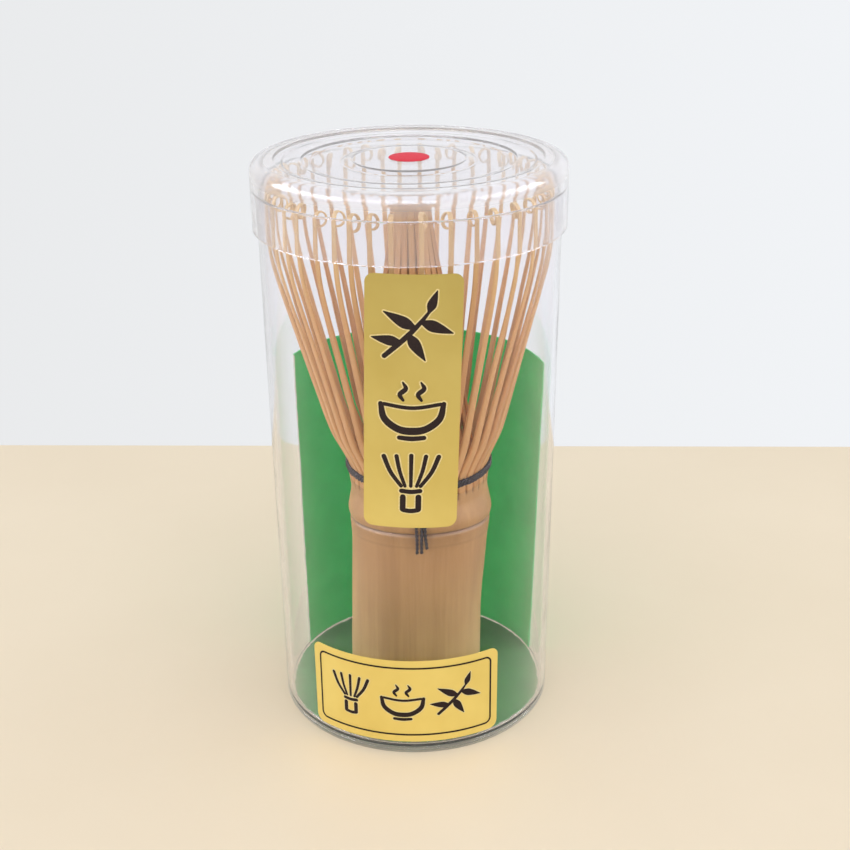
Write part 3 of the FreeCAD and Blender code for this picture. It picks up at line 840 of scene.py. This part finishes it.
def make_card(material):
    """The curled card: a cut left edge with torn fibres and a right edge that runs askew."""
    columns, rows = 150, 60
    gap = CASE_WALL + 0.06
    low, high = CARD_LOW.z - 0.45, CARD_HIGH.z
    face = []
    for row in range(rows + 1):
        level = low + (high - low) * row / rows
        right = math.radians(CARD_RIGHT - 360 - 8.5 * row / rows)
        left = math.radians(CARD_LEFT) + math.radians(random.uniform(-0.25, 0.12))
        for column in range(columns + 1):
            drop = random.uniform(0.0, 0.08) if row == rows else 0.0
            face.append((left + (right - left) * column / columns, level - drop))
    points = [
        around(angle, case_radius(level) - gap - inset, level)
        for inset in (0.0, CARD_THICK)
        for angle, level in face
    ]
    width = columns + 1
    layer = len(face)
    faces = []
    for row in range(rows):
        for a in range(row * width, row * width + columns):
            faces.append((a, a + 1, a + 1 + width, a + width))
            faces.append((a + layer, a + width + layer, a + 1 + width + layer, a + 1 + layer))
    rim = list(range(width))
    rim += [row * width + columns for row in range(1, rows + 1)]
    rim += [rows * width + column for column in reversed(range(columns))]
    rim += [row * width for row in reversed(range(1, rows))]
    faces += [(here, after, after + layer, here + layer) for here, after in zip(rim, rim[1:] + rim[:1])]
    sharpen(new_piece("card", points, faces, material, "card", "green_card", ["green_card"]), 50)


def make_torn_edge(material):
    """The card's white core, showing in a narrow ragged strip along its left edge."""
    rows = 240
    rings = []
    for row in range(rows + 1):
        level = CARD_LOW.z + (CARD_HIGH.z - 0.4 - CARD_LOW.z) * row / rows
        reach = random.uniform(0.15, 0.5) + 0.35 * max(0.0, math.sin(row * 0.37) * math.sin(row * 0.11))
        radius = case_radius(level) - CASE_WALL - 0.02
        rings.append([
            around(math.radians(CARD_LEFT + turn), radius - inset, level)
            for turn, inset in ((-0.25, 0.1), (reach, 0.14), (reach, 0.24), (-0.25, 0.38))
        ])
    new_piece("card_torn_edge", *tube(rings), material, "card", "green_card", smooth=False)


def flat_disc(name, node, grown, ragged, material, body, slot):
    """A round disc of paper with softened, slightly uneven edges, in a CAD node's place."""
    count = 180
    corner, far_corner = node_box(node)
    low, high = corner.z, far_corner.z
    radius = far_corner.x + grown
    edge = min((high - low) * 0.35, 0.1)
    wobble = [random.uniform(-ragged, 0) for _ in range(count)]
    rings = []
    for inset, level in (
        (radius * 0.5, low), (edge, low), (0.0, low + edge), (0.0, high - edge), (edge, high),
        (radius * 0.5, high), (radius * 0.9, high),
    ):
        share = 1 if inset < radius * 0.4 else 0
        reaches = [radius - inset + share * each for each in wobble]
        rings.append([around(TURN * n / count, reach, level) for n, reach in enumerate(reaches)])
    new_piece(name, *tube(rings), material, body, slot, [node])


# ---- Print on the labels ----

def stroke(places, fatter=0.0):
    """The outline of a brush stroke through (across, up, half width) places, with round ends."""
    steps = 10
    axes = [list(enumerate(axis)) for axis in zip(*places)]
    count = (len(places) - 1) * steps
    fine = [[through(axis, step / steps) for axis in axes] for step in range(count + 1)]
    left, right = [], []
    for before, (x, y, half), after in zip([fine[0], *fine], fine, [*fine[1:], fine[-1]]):
        run = Vector((after[0] - before[0], after[1] - before[1])).normalized()
        side = Vector((-run.y, run.x)) * (half + fatter)
        left.append((x + side.x, y + side.y))
        right.append((x - side.x, y - side.y))
    start = round_end(fine[0], fine[1], fatter)
    return [*right, *round_end(fine[-1], fine[-2], fatter), *reversed(left), *start]


def round_end(end, inner, fatter):
    """Points of the round end of a stroke, from its right side to its left."""
    run = Vector((end[0] - inner[0], end[1] - inner[1])).normalized()
    half = end[2] + fatter
    points = []
    for step in range(1, 8):
        turn = -math.pi / 2 + math.pi * step / 8
        across = run * math.cos(turn) + Vector((-run.y, run.x)) * math.sin(turn)
        points.append((end[0] + across.x * half, end[1] + across.y * half))
    return points


def leaf(x, y, length, degrees, half):
    """A bamboo leaf as a stroke: it starts at a point, swells and ends in a thin tip."""
    turn = math.radians(degrees)
    places = []
    for share, swell in ((0.0, 0.35), (0.3, 1.0), (0.6, 0.8), (1.0, 0.12)):
        run = length * share
        places.append((x + run * math.cos(turn), y + run * math.sin(turn), half * swell))
    return places


def sprig():
    """A sprig of bamboo: a bent stem with five leaves."""
    return [
        [(-5.2, -4.6, 0.45), (-1.6, -1.2, 0.5), (1.0, 1.6, 0.42), (3.0, 4.2, 0.25)],
        leaf(-2.2, -1.9, 5.4, 172, 0.95),
        leaf(-0.9, -0.4, 5.8, -58, 1.05),
        leaf(0.3, 0.8, 6.4, 152, 1.05),
        leaf(1.4, 2.0, 6.2, -22, 1.05),
        leaf(2.7, 3.8, 4.2, 70, 0.85),
    ]


def bowl():
    """A tea bowl on its foot, with two wisps of steam."""
    return [
        [(-6.6, 0.9, 0.55), (-5.8, -2.4, 0.75), (-3.0, -4.6, 0.8), (0.0, -5.1, 0.85),
         (3.0, -4.6, 0.8), (5.8, -2.4, 0.75), (6.6, 0.9, 0.55)],
        [(-5.9, 0.9, 0.42), (0.0, 0.2, 0.42), (5.9, 0.9, 0.42)],
        [(-2.6, -6.6, 0.5), (0.0, -6.8, 0.55), (2.6, -6.6, 0.5)],
        [(-1.9, 1.9, 0.3), (-2.6, 3.2, 0.5), (-1.4, 4.5, 0.5), (-2.0, 5.9, 0.2)],
        [(1.9, 1.9, 0.3), (1.2, 3.2, 0.5), (2.4, 4.5, 0.5), (1.8, 5.9, 0.2)],
    ]


def whisk_mark():
    """A tea whisk seen from the side: spread tines, their band and the handle."""
    strokes = [
        [(-1.9, -2.0, 0.5), (0.0, -2.2, 0.5), (1.9, -2.0, 0.5)],
        [(-1.6, -3.4, 0.6), (-1.6, -6.2, 0.6)],
        [(1.6, -3.4, 0.6), (1.6, -6.2, 0.6)],
        [(-1.5, -6.4, 0.5), (0.0, -6.6, 0.5), (1.5, -6.4, 0.5)],
    ]
    for side in (-1, 1):
        strokes.append([(side * 2.0, -0.9, 0.4), (side * 4.2, 2.2, 0.45), (side * 5.6, 5.6, 0.5)])
        strokes.append([(side * 1.2, -0.9, 0.36), (side * 2.3, 2.4, 0.4), (side * 3.0, 5.8, 0.44)])
    strokes.append([(0.0, -0.9, 0.36), (0.0, 2.4, 0.4), (0.0, 6.0, 0.45)])
    return strokes


class Print:
    """Flat shapes laid on the case's wall: a label's own plane, wrapped round the case."""

    def __init__(self, turn, level, tilt, lift):
        self.turn = math.radians(turn)
        self.level = level
        self.tilt = Matrix.Rotation(math.radians(tilt), 2)
        self.lift = lift
        self.points, self.faces = [], []

    def on_wall(self, place, raised):
        """A point of the label's plane on the wall, raised from the foil."""
        across, up = self.tilt @ place
        level = self.level + up
        radius = case_radius(level) + SHEET_THICK
        return around(self.turn + across / radius, radius + raised, level)

    def slab(self, places, faces, edges):
        """A thin solid of flat faces, with a side at each of the given edges."""
        start, count = len(self.points), len(places)
        for raised in (self.lift, self.lift + PRINT_THICK):
            self.points += [self.on_wall(place, raised) for place in places]
        for ring in faces:
            self.faces.append(tuple(start + n for n in reversed(ring)))
            self.faces.append(tuple(start + count + n for n in ring))
        for a, b in edges:
            self.faces.append((start + a, start + b, start + count + b, start + count + a))

    def shape(self, outline):
        """A slab of one outline, cut into upright slices so that it follows the wall."""
        flat = bmesh.new()
        corners = [flat.verts.new((x, y, 0)) for x, y in outline]
        edges = [flat.edges.new((corners[n - 1], corners[n])) for n in range(len(corners))]
        bmesh.ops.triangle_fill(flat, edges=edges, use_beauty=True)
        low = min(x for x, _ in outline)
        high = max(x for x, _ in outline)
        for at in range(math.ceil(low), math.ceil(high)):
            everything = flat.verts[:] + flat.edges[:] + flat.faces[:]
            bmesh.ops.bisect_plane(flat, geom=everything, plane_co=(at, 0, 0), plane_no=(1, 0, 0))
        flat.verts.index_update()
        faces = [[v.index for v in face.verts] for face in flat.faces]
        border = [[v.index for v in edge.verts] for edge in flat.edges if len(edge.link_faces) == 1]
        self.slab([v.co.xy for v in flat.verts], faces, border)
        flat.free()
        self.lift += 0.0012

    def mark(self, strokes, x, y, scale, fatter):
        """A motif of strokes, at a place and size."""
        for places in strokes:
            moved = [(x + u * scale, y + v * scale, half * scale) for u, v, half in places]
            self.shape(stroke(moved, fatter))

    def frame_line(self, half_width, half_height, radius, width):
        """A thin closed line round a label, with round corners."""
        inner, outer = [], []
        for number, (side, rise) in enumerate(((1, 1), (-1, 1), (-1, -1), (1, -1))):
            corner = Vector((side * (half_width - radius), rise * (half_height - radius)))
            for step in range(9):
                turn = math.pi / 2 * (number + step / 8)
                way = Vector((math.cos(turn), math.sin(turn)))
                inner.append(corner + way * (radius - width / 2))
                outer.append(corner + way * (radius + width / 2))
        for number, here in enumerate(inner):
            after = (number + 1) % len(inner)
            slices = max(1, math.ceil((inner[after] - here).length))
            for piece in range(slices):
                a, b = piece / slices, (piece + 1) / slices
                corners = ((inner, a), (inner, b), (outer, b), (outer, a))
                places = [line[number].lerp(line[after], share) for line, share in corners]
                self.slab(places, [(0, 1, 2, 3)], [(0, 1), (2, 3)])

    def finish(self, name, material):
        """The print as a piece on the case."""
        piece = new_piece(name, self.points, self.faces, material, "case", "gold_foil", smooth=False)
        with edited(piece.data) as work:
            bmesh.ops.remove_doubles(work, verts=work.verts, dist=1e-7)


def make_prints(ink, halo):
    """Generic tea motifs on both labels, where the real labels carry lettering."""
    tall_marks = [(sprig, 0.0, 15.9, 1.12), (bowl, 0.0, -0.6, 0.98), (whisk_mark, 0.0, -17.2, 1.02)]
    wide_marks = [(whisk_mark, -12.4, 0.3, 0.78), (bowl, -0.1, 0.2, 0.72), (sprig, 12.2, 0.2, 0.8)]
    labels = [
        ("tall_label", tall_marks, -0.15, (TALL_LOW.z + TALL_HIGH.z) / 2, -1.68, 0.3),
        ("wide_label", wide_marks, -5.6, (WIDE_LOW.z + WIDE_HIGH.z) / 2, 0.0, 0.22),
    ]
    for name, marks, turn, level, tilt, spread in labels:
        for layer, material, fatter, lift in (("halo", halo, spread, 0.004), ("print", ink, 0.0, 0.03)):
            laid = Print(turn, level, tilt, lift)
            for motif, x, y, scale in marks:
                laid.mark(motif(), x, y, scale, fatter)
            if name == "wide_label" and layer == "print":
                laid.frame_line(20.7, 8.85, 1.4, 0.42)
            laid.finish(f"{name}_{layer}", material)


# ---- The studio ----

def make_camera():
    """At the photograph's viewing angle: in front of the case and above it, looking down."""
    data = bpy.data.cameras.new("camera")
    data.sensor_width = 36
    data.lens = 59.55
    camera = bpy.data.objects.new("camera", data)
    turn, down, roll = -0.0094, 0.4087, -0.0107
    look = Matrix.Rotation(turn, 4, "Z") @ Matrix.Rotation(math.pi / 2 - down, 4, "X")
    place = Matrix.Translation((0, -0.29668, 0.19639))
    camera.matrix_world = place @ look @ Matrix.Rotation(roll, 4, "Z")
    bpy.context.scene.collection.objects.link(camera)
    bpy.context.scene.camera = camera


def area_light(name, place, width, height, power, target=(0, 0, 0.12), colour=(1, 1, 1)):
    """A soft rectangular lamp that faces a target point."""
    data = bpy.data.lights.new(name, "AREA")
    data.shape = "RECTANGLE"
    data.size = width
    data.size_y = height
    data.energy = power
    data.color = colour
    lamp = bpy.data.objects.new(name, data)
    lamp.location = place
    lamp.rotation_mode = "QUATERNION"
    lamp.rotation_quaternion = (Vector(target) - Vector(place)).to_track_quat("-Z", "Y")
    bpy.context.scene.collection.objects.link(lamp)
    return lamp


def make_room():
    """Pale world, brighter above and to the right, with a darker side behind the camera."""
    world = bpy.data.worlds.new("room")
    world.use_nodes = True
    nodes = world.node_tree.nodes
    way = coordinates(nodes, "Generated")
    height = share_between(nodes, way, "Z", (-0.35, 0.25))
    depth = share_between(nodes, way, "Y", (-0.55, 0.1))
    side = share_between(nodes, way, "X", (-1.0, 1.0))
    front = blend(nodes, (height, "Result"), (0.36, 0.32, 0.38, 1), (0.82, 0.82, 0.85, 1))
    whole = blend(nodes, (depth, "Result"), (front, 2), (0.85, 0.86, 0.865, 1))
    tint = blend(nodes, (side, "Result"), (0.88, 0.87, 0.86, 1), (1.12, 1.14, 1.18, 1))
    tinted = blend(nodes, 1.0, (whole, 2), (tint, 2), "MULTIPLY")
    link(tinted, 2, nodes["Background"], "Color")
    bpy.context.scene.world = world


def make_table():
    """A pale table top, whose far edge is where the room's wall begins to show."""
    width, depth, thick = 5.0, 0.76, 0.03
    far_edge = 0.141
    mesh = bpy.data.meshes.new("table")
    with edited(mesh) as work:
        bmesh.ops.create_cube(work, size=1)
        bmesh.ops.scale(work, vec=(width, depth, thick), verts=work.verts)
        bmesh.ops.translate(work, vec=(0, far_edge - depth / 2, -thick / 2), verts=work.verts)
        bmesh.ops.bevel(work, geom=work.edges[:], offset=0.002, segments=3, affect="EDGES")
        skew = Matrix.Rotation(-0.04, 4, "Z")
        bmesh.ops.rotate(work, cent=(0, far_edge, 0), matrix=skew, verts=work.verts)
    mesh.materials.append(table_top())
    table = bpy.data.objects.new("table", mesh)
    bpy.context.scene.collection.objects.link(table)


def make_studio():
    """Camera, room, table and lamps."""
    make_camera()
    make_room()
    make_table()
    area_light("key", (0.05, -0.42, 0.9), 1.3, 0.8, 2.8, (0, 0, 0.05), (1, 0.985, 0.96))
    area_light("window", (-0.02, -0.62, 0.40), 0.05, 0.035, 0.12)
    banks = [  # lamps that only gloss shows
        area_light("bank_front", (-0.3, -0.75, 0.56), 1.5, 0.45, 20.0),
        area_light("bank_left", (-0.9, -0.1, 0.5), 1.1, 0.45, 22.0),
        area_light("bank_right", (0.9, -0.15, 0.5), 1.1, 0.4, 16.0),
    ]
    for bank in banks:
        bank.visible_diffuse = False


# ---- The object ----

def dress(name, material):
    """Give a CAD node a material of this scene."""
    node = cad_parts[name]
    node.data.materials.clear()
    node.data.materials.append(material)


def make_object():
    """Every piece, from the case inwards."""
    plastic = clear_plastic()
    make_case(plastic)
    make_lid(plastic)
    foil = gold_foil()
    for label in ("wide_label", "tall_label"):
        dress(label, foil)
    ink = print_ink("label_ink", (0.014, 0.006, 0.005), (0.024, 0.011, 0.009))
    halo = print_ink("label_halo", (0.72, 0.58, 0.24), (0.86, 0.72, 0.36))
    make_prints(ink, halo)
    red = paper("red_paper", (0.66, 0.012, 0.035), (0.71, 0.02, 0.05), (0.6, 0.06, 0.08))
    flat_disc("red_dot", "red_dot_sticker", 0.0, 0.02, red, "lid", "red_paper")
    green = paper("green_paper", (0.035, 0.70, 0.235), (0.05, 0.79, 0.285), (0.02, 0.46, 0.13), 0.45)
    make_card(green)
    white = paper("torn_paper", (0.75, 0.78, 0.72), (0.9, 0.9, 0.86), (0.6, 0.7, 0.6))
    make_torn_edge(white)
    # A darker copy of the card's green paper for the disc on the case floor: painted shade, as the disc lies
    # under the whisk.
    darkened = paper("shaded_green_paper", (0.04, 0.18, 0.05), (0.055, 0.23, 0.065), (0.02, 0.09, 0.03))
    flat_disc("base_disc", "green_base_disc", 0.75, 0.35, darkened, "case", "green_card")
    make_culm(bamboo_skin())
    cotton = thread_cotton()
    make_thread(cotton)
    make_tails(cotton)
    split = split_bamboo("bamboo_split", (0.48, 0.215, 0.075), (0.66, 0.345, 0.135), (0.80, 0.50, 0.235))
    for number in range(OUTER_TINES):
        outer_tine(number, split)
    heart = split_bamboo("bamboo_heart", (0.34, 0.125, 0.03), (0.50, 0.215, 0.06), (0.68, 0.37, 0.13))
    make_inner_tines(heart)


make_studio()
make_object()
bpy.context.scene.view_settings.view_transform = "Standard"
